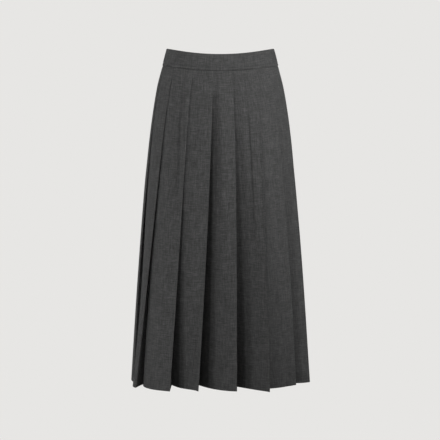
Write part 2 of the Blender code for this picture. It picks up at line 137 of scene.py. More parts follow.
# Soft marks beside each fold, a row for each in millimetres: distance before the edge where the
# mark starts and ends, drops of its two ends, its width, and its depth, negative on a ridge.
Mark = namedtuple("Mark", "from_edge to_edge start end width depth")
MARKS_MM = {
    "front_right_side": ((24, 30, 90, 420, 8, 1.2), (46, 58, 300, 800, 16, -2.2)),
    "front_right_hip": (
        (24, 11, 44, 420, 6, 5),
        (11, 2, 50, 430, 6, -2.2),
        (-2.5, -2.5, 45, 330, 3, 0.9),
        (52, 60, 360, 780, 15, 2),
    ),
    "front_right_middle": ((24, 26, 85, 350, 7, 0.8), (18, 40, 420, 820, 18, -1.8)),
    "front_left_middle": (
        (30, 33, 45, 620, 18, -6),
        (44, 47, 47, 460, 6.6, 4.6),
        (22, 34, 330, 760, 14, 1.8),
    ),
    "front_left_hip": (
        (2, 0, 60, 900, 20, -8.5),
        (5.5, 5.5, 70, 900, 3.4, 1.5),
        (0.5, 0.5, 70, 900, 3.2, -1.2),
        (38, 36, 50, 400, 8, -2.4),
    ),
    "front_left_side": ((23, 26, 90, 310, 8, 1.2), (14, 14, 200, 950, 13, -4.5)),
    "left_seam_front": ((25, 28, 80, 360, 7.5, 1.4), (12, 20, 400, 740, 12, -1.5)),
    "left_seam_back": (
        (18, 2, 60, 500, 9, -3.5),
        (34, 18, 46, 400, 6.2, 4),
        (44, 50, 340, 810, 17, 2.1),
    ),
    "back_left_side": ((27, 24, 80, 400, 7.5, 1.5), (4, 2, 100, 860, 21, -5.5)),
    "back_left_hip": (
        (20, 16, 50, 430, 9, -3.6),
        (41, 44, 48, 450, 6.6, 4.2),
        (36, 50, 310, 770, 16, -2.1),
    ),
    "back_left_middle": ((25, 20, 80, 340, 7, 1.2), (42, 38, 430, 800, 15, 1.9)),
    "back_right_middle": (
        (17, 1, 60, 520, 9.2, -3.4),
        (32, 15, 45, 370, 6, 4.4),
        (30, 44, 380, 720, 17, -1.9),
    ),
    "back_right_hip": ((3, 0, 80, 850, 23, -5.8), (48, 52, 290, 790, 16, 2.2)),
    "back_right_side": (
        (22, 18, 50, 390, 8.5, -3.2),
        (43, 40, 52, 480, 6.8, 3.6),
        (20, 36, 400, 830, 15, -1.7),
    ),
    "right_seam_back": ((24, 27, 85, 390, 7, 1.2),),
    "right_seam_front": ((25, 22, 90, 320, 7, 1.1), (40, 46, 350, 780, 16, 1.8)),
}
MARKS = {
    fold: [Mark(*(size / 1000.0 for size in row)) for row in rows]
    for fold, rows in MARKS_MM.items()
}
MARK_ENDS, MARK_TAIL = 0.8, 3.0  # how blunt a mark's ends are, and where it fades out


def smooth_step(share):
    share = min(max(share, 0.0), 1.0)
    return share * share * (3.0 - 2.0 * share)


def mix(first, second, share):
    return first + (second - first) * share


def section_slope(column, row):
    below = max(row - 1, 0)
    above = min(row + 1, len(SECTIONS) - 1)
    rise = getattr(SECTIONS[above], column) - getattr(SECTIONS[below], column)
    return rise / (SECTIONS[above].drop - SECTIONS[below].drop)


def section_size(column, drop):
    """One size of the form at a drop, on a smooth curve through the sections."""
    drop = min(max(drop, SECTIONS[0].drop), SECTIONS[-1].drop)
    row = max(i for i in range(len(SECTIONS) - 1) if SECTIONS[i].drop <= drop)
    low, high = SECTIONS[row], SECTIONS[row + 1]
    span = high.drop - low.drop
    share = (drop - low.drop) / span
    lean_low = share * (1.0 - share) ** 2 * span * section_slope(column, row)
    lean_high = share ** 2 * (1.0 - share) * span * section_slope(column, row + 1)
    size = mix(getattr(low, column), getattr(high, column), smooth_step(share))
    return size + lean_low - lean_high


def way_down(start, drop):
    """How far a drop is on the way from a start, 0, to the hem, 1."""
    return max(drop - start, 0.0) / (LENGTH - start)


def hollow(fold, drop):
    """Depth of the hollow behind a fold edge."""
    crease = fold.crease_depth * smooth_step((drop - fold.crease_start) / CREASE_GROWTH)
    return crease + fold.depth * way_down(RELEASED_AT, drop) ** fold.opening


def height(angle, drop):
    dip = FRONT_DIP if math.cos(angle) > 0.0 else BACK_DIP
    level_share = max(1.0 - drop / LENGTH, 0.0) ** DIP_FADE
    return TOP - drop - dip * math.cos(angle) ** 2 * level_share


class Level:
    """The skirt's form at one drop."""

    def __init__(self, drop):
        self.drop = drop
        share = way_down(STITCHED_TO, drop)
        self.open = share ** SPREAD_POWER
        self.hollows = [hollow(fold, drop) for fold in FOLDS]
        self.half_width, self.front_depth, self.back_depth = (
            section_size(column, drop) for column in Section._fields[1:]
        )
        pressed = mix(SEWN_STEP, PRESSED_STEP, smooth_step((drop - BAND_HEIGHT) / SEWN_FLAT))
        self.step = mix(pressed, LOOSE_STEP, smooth_step(self.open * LOOSENING))
        self.edges = [
            math.radians(mix(fold.waist_deg, fold.hem_deg, share ** EDGE_TURN_POWER))
            for fold in FOLDS
        ]
        marks = [(edge, fold.reach) for edge, fold in zip(self.edges, FOLDS)]
        first, last = marks[0], marks[-1]
        self.reaches = [(last[0] - TURN, last[1])] + marks + [(first[0] + TURN, first[1])]
        self.marks = self.soft_marks()

    def soft_marks(self):
        """The soft marks at this drop, as (angle, width as an angle, depth)."""
        found = []
        lip = LIP_DEPTH * smooth_step((self.drop - RELEASED_AT) / RELEASED_AT)
        for edge, fold in zip(self.edges, FOLDS):
            per_metre = self.turn_for(edge, 1.0)
            found.append((edge - LIP_PLACE * per_metre, LIP_WIDTH * per_metre, -lip))
            for mark in MARKS[fold.name]:
                if mark.start < self.drop < mark.end:
                    share = (self.drop - mark.start) / (mark.end - mark.start)
                    place = edge - mix(mark.from_edge, mark.to_edge, share) * per_metre
                    depth = mark.depth * math.sin(math.pi * share) ** MARK_ENDS
                    found.append((place, mark.width * per_metre, depth))
        return found

    def mark_depth(self, angle):
        """How deep the soft marks press all the layers in at an angle."""
        depth = 0.0
        for place, width, deepest in self.marks:
            off = ((angle - place + math.pi) % (TURN) - math.pi) / width
            if abs(off) < MARK_TAIL:
                depth += deepest * math.exp(-off * off)
        return depth

    def half_depth(self, angle):
        return self.front_depth if math.cos(angle) > 0.0 else self.back_depth

    def reach(self, angle):
        """How far the form stands out at an angle, from the two folds beside it."""
        start = self.reaches[0][0]
        angle = (angle - start) % (TURN) + start
        for (low, low_reach), (high, high_reach) in zip(self.reaches, self.reaches[1:]):
            if angle <= high:
                share = smooth_step((angle - low) / (high - low))
                return 1.0 + (mix(low_reach, high_reach, share) - 1.0) * self.open ** REACH_POWER
        return 1.0

    def point(self, angle, depth):
        half_depth = self.half_depth(angle)
        sine, cosine = math.sin(angle), math.cos(angle)
        inwards = Vector((-sine * half_depth, cosine * self.half_width)).normalized()
        reach = self.reach(angle)
        x = self.half_width * sine * reach + inwards.x * depth
        y = -half_depth * cosine * reach + inwards.y * depth
        return Vector((x, y, height(angle, self.drop)))

    def turn_for(self, angle, distance):
        """The angle that spans a distance along the form."""
        across = self.half_width * math.cos(angle)
        along = self.half_depth(angle) * math.sin(angle)
        return distance / math.hypot(across, along)


def pleat_path(index, level):
    """One pleat's cloth at a level, as (angle, depth) pairs.

    It runs from the inner fold of the pleat before it across its own panel, round its outer
    fold, and back under to its own inner fold.
    """
    fold = FOLDS[index]
    radius = level.step / 2.0

    def inner_corner(number):
        """Angle and depth where the underlay of a fold ends, and its slope as a unit pair."""
        hem_width = HIDDEN_UNDERLAY.get(FOLDS[number].name, HEM_UNDERLAY)
        width = mix(WAIST_UNDERLAY, hem_width, level.open)
        deep = level.hollows[number]
        length = math.hypot(width, deep)
        edge = level.edges[number]
        angle = edge - level.turn_for(edge, width)
        return angle, level.step + deep, width / length, deep / length

    start = level.edges[index - 1]
    corner_angle, corner_depth, flat, steep = inner_corner(index - 1)
    start_fold = corner_angle + level.turn_for(start, level.step * steep)
    deepest = corner_depth + level.step * flat
    edge = level.edges[index]
    if edge < start:
        start, start_fold = start - TURN, start_fold - TURN
    inner, inner_depth, flat, steep = inner_corner(index)
    hollow_before = level.hollows[index - 1]
    per_metre = level.turn_for(edge, 1.0)

    path = []
    last = edge - radius * per_metre
    for i in range(FACE_POINTS):
        share = i / (FACE_POINTS - 1)
        share = mix(share, math.sin(share * math.pi / 2.0), EDGE_CROWDING)
        angle = mix(start_fold, last, share)
        across = (angle - start_fold) / (edge - start_fold)
        pressed = 1.0 - smooth_step((angle - start) / (inner - start))
        depth = (deepest - hollow_before) * pressed
        depth += hollow_before * (1.0 - across) ** fold.fullness
        path.append((angle, depth))
    finish = math.atan2(flat, steep)
    for i in range(1, FOLD_POINTS + 1):
        turn = mix(-math.pi / 2.0, finish, i / FOLD_POINTS)
        out = radius * (math.cos(turn) - 1.0)
        path.append((edge + out * per_metre, radius + radius * math.sin(turn)))
    under_angle, under_depth = path[-1]
    for i in range(1, UNDER_POINTS + 1):
        share = i / UNDER_POINTS
        sag = UNDERLAY_SAG * level.hollows[index] * math.sin(math.pi * share)
        path.append((mix(under_angle, inner, share), mix(under_depth, inner_depth, share) + sag))
    for i in range(1, INNER_POINTS + 1):
        turn = math.pi * i / (INNER_POINTS + 1)
        aside = radius * (1.0 - math.cos(turn))
        beyond = radius * math.sin(turn)
        across = aside * steep - beyond * flat
        inwards = aside * flat + beyond * steep
        path.append((inner + across * per_metre, inner_depth + inwards))
    return path


def side_ways(flat_points):
    """For each point of a level line, the mitred direction towards its outer side."""
    sides = []
    for low, high in zip(flat_points, flat_points[1:]):
        along = (high - low).normalized()
        sides.append(Vector((along.y, -along.x)))
    ways = []
    for i in range(len(flat_points)):
        first = sides[max(i - 1, 0)]
        second = sides[min(i, len(sides) - 1)]
        ways.append((first + second) / max(1.0 + first.dot(second), MITRE_LIMIT))
    return ways


def skirt_drops():
    """Drops of the skirt's rows, closer together at the seam, the turning's edge and the hem."""
    near_seam = [BAND_HEIGHT + beyond for beyond in ROWS_AT_SEAM]
    turning = LENGTH - HEM_TURNING
    rows = SKIRT_ROWS - len(near_seam)
    first, last = BAND_HEIGHT + EVEN_ROWS_FROM, LENGTH - EVEN_ROWS_TO
    even = [mix(first, last, i / (rows - 1)) for i in range(rows)]
    even = [drop for drop in even if abs(drop - turning) > ROWS_CLEAR_OF_TURNING]
    hem = [turning - ROWS_AT_TURNING, turning + ROWS_AT_TURNING]
    hem += [LENGTH - above for above in ROWS_AT_HEM]
    return sorted(near_seam + even + hem)


def skirt_row(first, count, drop):
    """Outer skin, inner skin and weave distances of a panel at one drop."""
    level = Level(drop)
    below_seam = drop - BAND_HEIGHT
    valley = SEAM_VALLEY * math.exp(-max(below_seam, 0.0) / SEAM_VALLEY_WIDTH)
    valley = mix(TUCKED_DEPTH, valley, smooth_step((below_seam + TUCK_BEND_FROM) / TUCK_BEND))
    cloth = mix(SEWN_CLOTH, CLOTH, smooth_step(below_seam / SEWN_FLAT))
    centre = []
    for index in range(first, first + count):
        centre += [
            level.point(angle, depth + valley + level.mark_depth(angle))
            for angle, depth in pleat_path(index, level)
        ]
    flat_points = [point.to_2d() for point in centre]
    ways = side_ways(flat_points)
    run = [0.0]
    for low, high in zip(flat_points, flat_points[1:]):
        run.append(run[-1] + (high - low).length)
    per_pleat = len(centre) // count
    below_top = drop - (LENGTH - HEM_TURNING)
    lining = mix(cloth / 2.0, HEM_CLOTH, smooth_step(below_top / HEM_STEP + 0.5))
    rounding = smooth_step((LENGTH - drop) / HEM_ROUND + HEM_BLUNT)
    outer, inner, weave = [], [], []
    for i, (point, way) in enumerate(zip(centre, ways)):
        pleat = i // per_pleat
        from_tip = run[i] - run[pleat * per_pleat + TIP]
        inset = min(lining, cloth / 2.0 + TURNING_SLOPE * abs(from_tip)) * rounding
        outer.append(point + (way * cloth / 2.0 * rounding).to_3d())
        inner.append(point - (way * inset).to_3d())
        weave.append(((first + pleat) * PLEAT_CUT + from_tip, drop))
    return outer, inner, weave


def new_piece(name, points, faces, material):
    mesh = bpy.data.meshes.new(name)
    mesh.from_pydata(points, [], faces)
    mesh.shade_smooth()
    mesh.materials.append(material)
    piece = bpy.data.objects.new(name, mesh)
    bpy.context.scene.collection.objects.link(piece)
    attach(piece, "skirt")
    return piece


def cloth_wall(name, rows, material):
    """A thin closed wall from rows of (outer skin, inner skin, weave), with its weave as UV."""
    columns = len(rows[0][0])
    last_row, end = len(rows) - 1, columns - 1
    points, weave, faces = [], [], []
    for outer, inner, spots in rows:
        points += outer + inner
        weave += list(spots) * 2

    def face(*corners):
        faces.append([(row * 2 + side) * columns + column for row, side, column in corners])

    for row in range(last_row):
        low = row + 1
        for i in range(end):
            face((low, 0, i), (low, 0, i + 1), (row, 0, i + 1), (row, 0, i))
            face((row, 1, i), (row, 1, i + 1), (low, 1, i + 1), (low, 1, i))
        face((row, 0, 0), (row, 1, 0), (low, 1, 0), (low, 0, 0))
        face((low, 0, end), (low, 1, end), (row, 1, end), (row, 0, end))
    for i in range(end):
        face((0, 0, i), (0, 0, i + 1), (0, 1, i + 1), (0, 1, i))
        face((last_row, 1, i), (last_row, 1, i + 1), (last_row, 0, i + 1), (last_row, 0, i))
    wall = new_piece(name, points, faces, material)
    uv = wall.data.uv_layers.new(name="weave")
    for loop in wall.data.loops:
        uv.data[loop.index].uv = weave[loop.vertex_index]
    return wall


def hung_sheet(name, node, rows, material):
    sheet = cloth_wall(name, rows, material)
    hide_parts(node)


def skirt_panel(node, first, count, material):
    """A panel of several pleats, from its first fold on."""
    rows = [skirt_row(first, count, drop) for drop in skirt_drops()]
    hung_sheet(f"{node}_cloth", node, rows, material)


# Waistband: a strip folded lengthwise over its top edge, its lower edges turned in
BAND_CLOTH = 0.0022
BAND_PROUD = 0.0008
BAND_LAYER = 0.0006
BAND_ROLL, BAND_BELLY = 0.0006, 0.0004
BACK_SWELL, BACK_SWELL_LENGTH = 0.0009, 0.008  # over the skirt's sewn-in edge
ROLL_POINTS, BACK_POINTS, TOP_POINTS, FRONT_POINTS = 4, 9, 9, 10
BACK_CROWDING = 1.5  # the back's points lie closer towards its lower edge, by this power
BAND_COLUMN = 0.0024
THREADS_SHIFT_DEG = 100.0  # each stretch is cut from its own place in the weave
SEAM_GAP, CLOSED_SEAM = 0.0003, 0.00002
SEAM_EDGE, SEAM_DIP = 0.0008, 0.0003
AT_CENTRE_BACK = -0.9  # the cosine of an angle near the centre back is less
NOTCH_HALF_WIDTH, NOTCH_DROP, NOTCH_CURVE = 0.0013, 0.0108, 0.0015
STITCH_LINE = 0.0065  # topstitching above the band's lower seam
GROOVE_DEPTH, GROOVE_WIDTH, GROOVE_CLEAR = 0.0007, 0.0011, 0.0024
ROWS_AT_GROOVE = (-0.0012, -0.0006, 0.0, 0.0006, 0.0012, 0.0022, 0.0036)
STITCH_LENGTH, STITCH_PITCH = 0.0025, 0.0032
STITCH_SHARES, STITCH_LIFT, STITCH_BLUNT = (0.0, 0.2, 0.5, 0.8, 1.0), 1.9, 0.6
STITCHES_STOP = 0.03  # this angle before the centre back
THREAD, THREAD_SIDES = 0.00021, 6

# The band's small waves in depth: how many there are round the waist, where they start, how they
# drift with the drop, and each one's share of the whole depth
Wave = namedtuple("Wave", "count start drift share")
BAND_WAVES = (Wave(3.0, 0.7, 0.0, 0.4), Wave(7.0, 2.1, 0.0, 0.35), Wave(17.0, 0.0, 60.0, 0.25))
BAND_WAVE_DEPTH = 0.00035


@cache
def level_at(drop):
    return Level(drop)


def band_line():
    """The folded strip's middle line, as (drop, depth) pairs, from its back lower edge up and
    over the top to its front lower edge."""
    half = BAND_LAYER / 2.0
    front = half - BAND_PROUD
    back = front + BAND_CLOTH - BAND_LAYER
    middle, radius = (front + back) / 2.0, (back - front) / 2.0
    bottom = BAND_HEIGHT - SEAM_GAP / 2.0 - half
    groove = BAND_HEIGHT - STITCH_LINE
    roll = []
    for i in range(ROLL_POINTS):
        turn = math.pi / 2.0 * i / (ROLL_POINTS - 1)
        roll.append((BAND_ROLL * (1.0 - math.cos(turn)), BAND_ROLL * (1.0 - math.sin(turn))))
    line = [(bottom - up, back + BACK_SWELL - inwards) for up, inwards in roll]
    for i in range(1, BACK_POINTS + 1):
        drop = mix(bottom - BAND_ROLL, radius + half, (i / BACK_POINTS) ** BACK_CROWDING)
        swell = BACK_SWELL * smooth_step(1.0 - (bottom - BAND_ROLL - drop) / BACK_SWELL_LENGTH)
        line.append((drop, back + swell))
    for i in range(1, TOP_POINTS):
        turn = math.pi * i / TOP_POINTS
        over = radius + half - radius * math.sin(turn)
        line.append((over, middle + radius * math.cos(turn)))
    shares = [i / (FRONT_POINTS - 1) for i in range(FRONT_POINTS)]
    above = [mix(radius + half, groove - GROOVE_CLEAR, share) for share in shares]
    beside = [groove + off for off in ROWS_AT_GROOVE]
    for drop in above + beside:
        off = (drop - groove) / GROOVE_WIDTH
        belly = BAND_BELLY * math.sin(math.pi * drop / BAND_HEIGHT)
        line.append((drop, front - belly + GROOVE_DEPTH * math.exp(-off * off)))
    line += [(bottom - up, front + inwards) for up, inwards in reversed(roll)]
    return line


def band_wave(angle, drop):
    """The band's small unevenness in depth."""
    return BAND_WAVE_DEPTH * sum(
        math.sin(angle * wave.count + wave.start + drop * wave.drift) * wave.share
        for wave in BAND_WAVES
    )


def seam_offset(column, columns, angle, drop):
    """How far a band end stays off its seam. At the centre back the ends part round the slider."""
    if column not in (0, columns):
        return 0.0
    half_gap = CLOSED_SEAM / 2.0
    if math.cos(angle) < AT_CENTRE_BACK:
        parted = smooth_step((NOTCH_DROP - drop) / NOTCH_CURVE)
        half_gap = mix(SEAM_GAP / 2.0, NOTCH_HALF_WIDTH, parted)
    return half_gap if column == 0 else -half_gap


def band_angles(start_deg, end_deg):
    """Even columns of a band stretch, with one close beside each seam for its pressed edge."""
    beside = math.degrees(SEAM_EDGE / SECTIONS[0].half_width)
    columns = round(math.radians(end_deg - start_deg) * SECTIONS[0].half_width / BAND_COLUMN)
    even = [mix(start_deg, end_deg, i / columns) for i in range(1, columns)]
    degrees = [start_deg, start_deg + beside] + even + [end_deg - beside, end_deg]
    return [math.radians(angle) for angle in degrees]


def waistband(node, start_deg, end_deg, material):
    """A stretch of the waistband between two of its seams."""
    line = band_line()
    angles = band_angles(start_deg, end_deg)
    columns = len(angles) - 1
    middle = level_at(BAND_HEIGHT / 2.0)
    threads = [start_deg / THREADS_SHIFT_DEG]
    for low, high in zip(angles, angles[1:]):
        span = (middle.point(high, 0.0) - middle.point(low, 0.0)).to_2d().length
        threads.append(threads[-1] + span)
    rows = []
    around = 0.0
    for i, (drop, depth) in enumerate(line):
        before, after = line[max(i - 1, 0)], line[min(i + 1, len(line) - 1)]
        way = Vector((after[0] - before[0], after[1] - before[1])).normalized()
        aside = Vector((way.y, -way.x)) * (BAND_LAYER / 2.0)
        around += math.dist(before, line[i])
        outer, inner = [], []
        for column, angle in enumerate(angles):
            pressed = SEAM_DIP if column in (0, columns) else 0.0
            deep = depth + pressed + band_wave(angle, drop)
            for skin, side in ((outer, 1.0), (inner, -1.0)):
                level = level_at(round(drop + aside.x * side, 6))
                off = level.turn_for(angle, seam_offset(column, columns, angle, drop))
                skin.append(level.point(angle + off, deep + aside.y * side))
        rows.append((outer, inner, [(thread, around) for thread in threads]))
    band = cloth_wall(f"{node}_cloth", rows, material)
    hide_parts(node)


def tube(paths, radius, sides):
    """Points and faces of round closed tubes along several paths."""
    points, faces = [], []
    for path in paths:
        first = len(points)
        last = len(path) - 1
        side = None
        for i, place in enumerate(path):
            way = (path[min(i + 1, last)] - path[max(i - 1, 0)]).normalized()
            if side is None:
                side = way.orthogonal().normalized()
            side = (side - way * side.dot(way)).normalized()
            other = way.cross(side)
            for j in range(sides):
                turn = TURN * j / sides
                points.append(place + (side * math.cos(turn) + other * math.sin(turn)) * radius)
        for i in range(last):
            for j in range(sides):
                low, high = first + i * sides, first + (i + 1) * sides
                after = (j + 1) % sides
                faces.append((low + j, low + after, high + after, high + j))
        faces.append([first + j for j in reversed(range(sides))])
        faces.append([first + last * sides + j for j in range(sides)])
    return points, faces


def thread_piece(name, paths, radius, sides, material):
    points, faces = tube(paths, radius, sides)
    piece = new_piece(name, points, faces, material)
    return piece


def topstitching(material):
    """One row of stitches round the band, above its lower seam."""
    drop = BAND_HEIGHT - STITCH_LINE
    level = level_at(drop)
    belly = BAND_BELLY * math.sin(math.pi * drop / BAND_HEIGHT)
    surface = GROOVE_DEPTH - BAND_PROUD - belly
    paths = []
    angle = -math.pi
    while angle < math.pi - STITCHES_STOP:
        path = []
        for share in STITCH_SHARES:
            place = angle + level.turn_for(angle, STITCH_LENGTH * share)
            lift = THREAD * (STITCH_LIFT * math.sin(math.pi * share) ** STITCH_BLUNT - 1.0)
            path.append(level.point(place, surface + band_wave(place, drop) - lift))
        paths.append(path)
        angle += level.turn_for(angle, STITCH_PITCH)
    thread_piece("waistband_topstitching", paths, THREAD, THREAD_SIDES, material)


# Zip at the centre back
LAYER_STEP, CAD_CLOTH = 0.0015, 0.0010  # of the solids
TAPE_CLOTH, TAPE_EDGE = 0.0008, 0.0125
TAPE_TOP, TAPE_END, CHAIN_END = 0.002, 0.1991, 0.1871
TAPE_BESIDE_SLIDER, TAPE_TURN = 0.0043, 0.002
BEHIND_BAND_TO, UNDER_PLEATS_IN = 0.034, 0.006
CENTRE_BACK_FOLD = 11
CHAIN_HALF_WIDTH, CHAIN_THICK = 0.0016, 0.0016
COIL_PITCH, COIL_WIRE, COIL_LAP = 0.0015, 0.00028, 0.0005
COIL_TURN_POINTS, COIL_SIDES = 10, 5
SLIDER_DROP, SLIDER_END_DROP = 0.006, 0.0127
TAPE_ROW, TAPE_COLUMNS = 0.0022, 9


def tape_depth(drop):
    """Depth of the tape's middle: behind the band, then under the pleats' innermost layer."""
    behind_band = BAND_CLOTH - BAND_PROUD + SEAM_GAP + TAPE_CLOTH / 2.0
    folded = 2.0 * LAYER_STEP + CAD_CLOTH / 2.0 + hollow(FOLDS[CENTRE_BACK_FOLD], drop)
    under_pleats = folded + 2.0 * SEAM_GAP + TAPE_CLOTH / 2.0
    return mix(behind_band, under_pleats, smooth_step((drop - BEHIND_BAND_TO) / UNDER_PLEATS_IN))


def centre_back(across, drop, depth):
    level = level_at(round(drop, 6))
    return level.point(math.pi - level.turn_for(math.pi, across), depth)


def zip_tape(node, side, material):
    """One woven tape. Its inner edge keeps clear of the slider, then runs beside the chain."""
    count = round((TAPE_END - TAPE_TOP) / TAPE_ROW)
    rows = []
    for i in range(count + 1):
        drop = mix(TAPE_TOP, TAPE_END, i / count)
        below_slider = min(max((drop - SLIDER_END_DROP) / TAPE_TURN, 0.0), 1.0)
        edge = mix(TAPE_BESIDE_SLIDER, CHAIN_HALF_WIDTH + SEAM_GAP, below_slider)
        across = [mix(TAPE_EDGE, edge, j / TAPE_COLUMNS) * side for j in range(TAPE_COLUMNS + 1)]
        across.sort(reverse=True)
        depth = tape_depth(drop)
        outer = [centre_back(x, drop, depth - TAPE_CLOTH / 2.0) for x in across]
        inner = [centre_back(x, drop, depth + TAPE_CLOTH / 4.0) for x in across]
        rows.append((outer, inner, [(x, drop) for x in across]))
    hung_sheet(f"{node}_woven", node, rows, material)


def zip_coils(material):
    """The closed chain: two coils, half a pitch apart, whose turns lie between each other."""
    turns = round((CHAIN_END - SLIDER_END_DROP) / COIL_PITCH)
    reach_across = (CHAIN_HALF_WIDTH + COIL_LAP) / 2.0 - COIL_WIRE / 2.0
    middle = CHAIN_HALF_WIDTH - COIL_WIRE - reach_across
    half_depth = CHAIN_THICK / 2.0 - COIL_WIRE
    paths = []
    for side in (-1.0, 1.0):
        path = []
        for i in range((turns - 1) * COIL_TURN_POINTS):
            turn = TURN * i / COIL_TURN_POINTS
            drop = SLIDER_END_DROP + COIL_PITCH * (i / COIL_TURN_POINTS + 0.25 + 0.25 * side)
            across = side * (middle + reach_across * math.cos(turn))
            depth = tape_depth(drop) - TAPE_CLOTH / 2.0 + CHAIN_THICK / 2.0
            path.append(centre_back(across, drop, depth + half_depth * math.sin(turn)))
        paths.append(path)
    coils = thread_piece("zip_coils", paths, COIL_WIRE, COIL_SIDES, material)
    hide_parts("zip_chain")


def place_along(top, bottom, beyond):
    """Place and tilt of a hard piece: this far below top on a line down the centre back, with Y
    pointing outwards and Z up along the line."""
    up = (top - bottom).normalized()
    turn = Matrix.Rotation(math.atan2(-up.y, up.z), 4, "X")
    return Matrix.Translation(top - up * beyond) @ turn


def slider_place():
    top, bottom = centre_back(0.0, 0.0, -BAND_PROUD), centre_back(0.0, BAND_HEIGHT, -BAND_PROUD)
    return place_along(top, bottom, SLIDER_DROP)


def select_where(piece, kind, test):
    """Selects the edges or faces of a piece whose middle passes a test, in edit mode."""
    bpy.ops.object.mode_set(mode="EDIT")
    bpy.ops.mesh.select_mode(type={"edges": "EDGE", "faces": "FACE"}[kind])
    bpy.ops.mesh.select_all(action="DESELECT")
    shape = bmesh.from_edit_mesh(piece.data)
    for item in getattr(shape, kind):
        middle = sum((corner.co for corner in item.verts), Vector()) / len(item.verts)
        if test(middle):
            item.select_set(True)
    shape.select_flush_mode()
    bmesh.update_edit_mesh(piece.data)


def round_edges(piece, test, width, steps):
    select_where(piece, "edges", test)
    bpy.ops.mesh.bevel(offset=width, segments=steps, affect="EDGES")


def widen_lower_end(piece, factor):
    for corner in piece.data.vertices:
        if corner.co.z < 0.0:
            corner.co.x *= factor


def block(name, half_width, depths, heights):
    """A cube primitive, centred across, between two depths and two heights of its mesh."""
    bpy.ops.object.select_all(action="DESELECT")
    middle = (0.0, sum(depths) / 2.0, sum(heights) / 2.0)
    size = (2.0 * half_width, depths[1] - depths[0], heights[1] - heights[0])
    bpy.ops.mesh.primitive_cube_add(size=1.0, location=middle, scale=size)
    made = bpy.context.object
    made.name = name
    bpy.ops.object.transform_apply()
    return made


def apply(piece, modifier):
    bpy.ops.object.mode_set(mode="OBJECT")
    bpy.context.view_layer.objects.active = piece
    bpy.ops.object.modifier_apply(modifier=modifier.name)


def soften(piece, width, segments=3):
    """Rounds the edges of a hard piece."""
    bevel = piece.modifiers.new("soft_edges", "BEVEL")
    bevel.width = width
    bevel.segments = segments
    bevel.limit_method = "ANGLE"
    bevel.angle_limit = math.radians(SOFTEN_FROM_DEG)
    apply(piece, bevel)


def cut(piece, tool, operation="DIFFERENCE"):
    change = piece.modifiers.new("cut", "BOOLEAN")
    change.operation = operation
    change.object = tool
    apply(piece, change)
    bpy.data.objects.remove(tool)


def finish_metal(piece, node, body, place, material):
    """Puts a hard piece in its place, with its finish and its body."""
    bpy.ops.object.mode_set(mode="OBJECT")
    piece.data.transform(place)
    piece.data.materials.clear()
    piece.data.materials.append(material)
    bpy.ops.object.select_all(action="DESELECT")
    piece.select_set(True)
    bpy.context.view_layer.objects.active = piece
    bpy.ops.object.shade_smooth_by_angle(angle=math.radians(SMOOTH_BELOW_DEG))
    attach(piece, body)
    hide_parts(node)


# The slider, its pull and the stop, each in its own axes
BODY_HALF_WIDTH, BODY_THICK, BODY_NARROWING = 0.0040, 0.0028, 0.78
BODY_SIDE_RIM, BODY_SIDE_HOLLOW = 0.0007, 0.0011
SLIDER_TOP, SLIDER_BOTTOM = 0.0040, -0.0050
NECK_HALF_WIDTH, NECK_TOP, NECK_BOTTOM, NECK_JOINED_IN = 0.0009, 0.0030, -0.0035, 0.0005
FACE_HALF_WIDTH, FACE_OUT, FACE_ROUND = 0.0026, 0.0015, 0.0012
ARCH_HALF_WIDTH, ARCH_IN, ARCH_OUT, ARCH_ROUND = 0.00075, 0.00325, 0.0041, 0.0014
ARCH_TOP, ARCH_BOTTOM, ARCH_LEG = 0.0028, -0.0032, 0.0010
ARCH_JOINED_IN, ARCH_OPENING_HALF_WIDTH = 0.0003, 0.002
PIVOT_UP, PIVOT_OUT = -0.0013, 0.0024
PULL_THICK, PULL_LENGTH = 0.0011, 0.020
PULL_TOP_HALF_WIDTH, PULL_END_HALF_WIDTH = 0.0026, 0.0034
PULL_TOP_ROUND, PULL_END_ROUND = 0.0009, 0.98 * PULL_END_HALF_WIDTH
PULL_RIM, PULL_RIM_STEP, PULL_RIM_HEIGHT = 0.0008, 0.0002, 0.00018
WINDOW_LENGTH, WINDOW_HALF_WIDTH, WINDOW_ROUND = 0.0042, 0.00125, 0.0005
STOP_LENGTH, STOP_THICK, STOP_RIM, STOP_STEP = 0.0047, 0.0020, 0.0006, 0.0002
BODY_SOFT, FACE_SOFT, ARCH_SOFT, PULL_SOFT, STOP_SOFT = 0.0003, 0.00035, 0.0002, 0.00014, 0.00025
SOFTEN_FROM_DEG, SMOOTH_BELOW_DEG = 30.0, 35.0
NEAR_SIDE, ON_MIDDLE = 0.7, 1e-5  # a share of the half size, and a distance


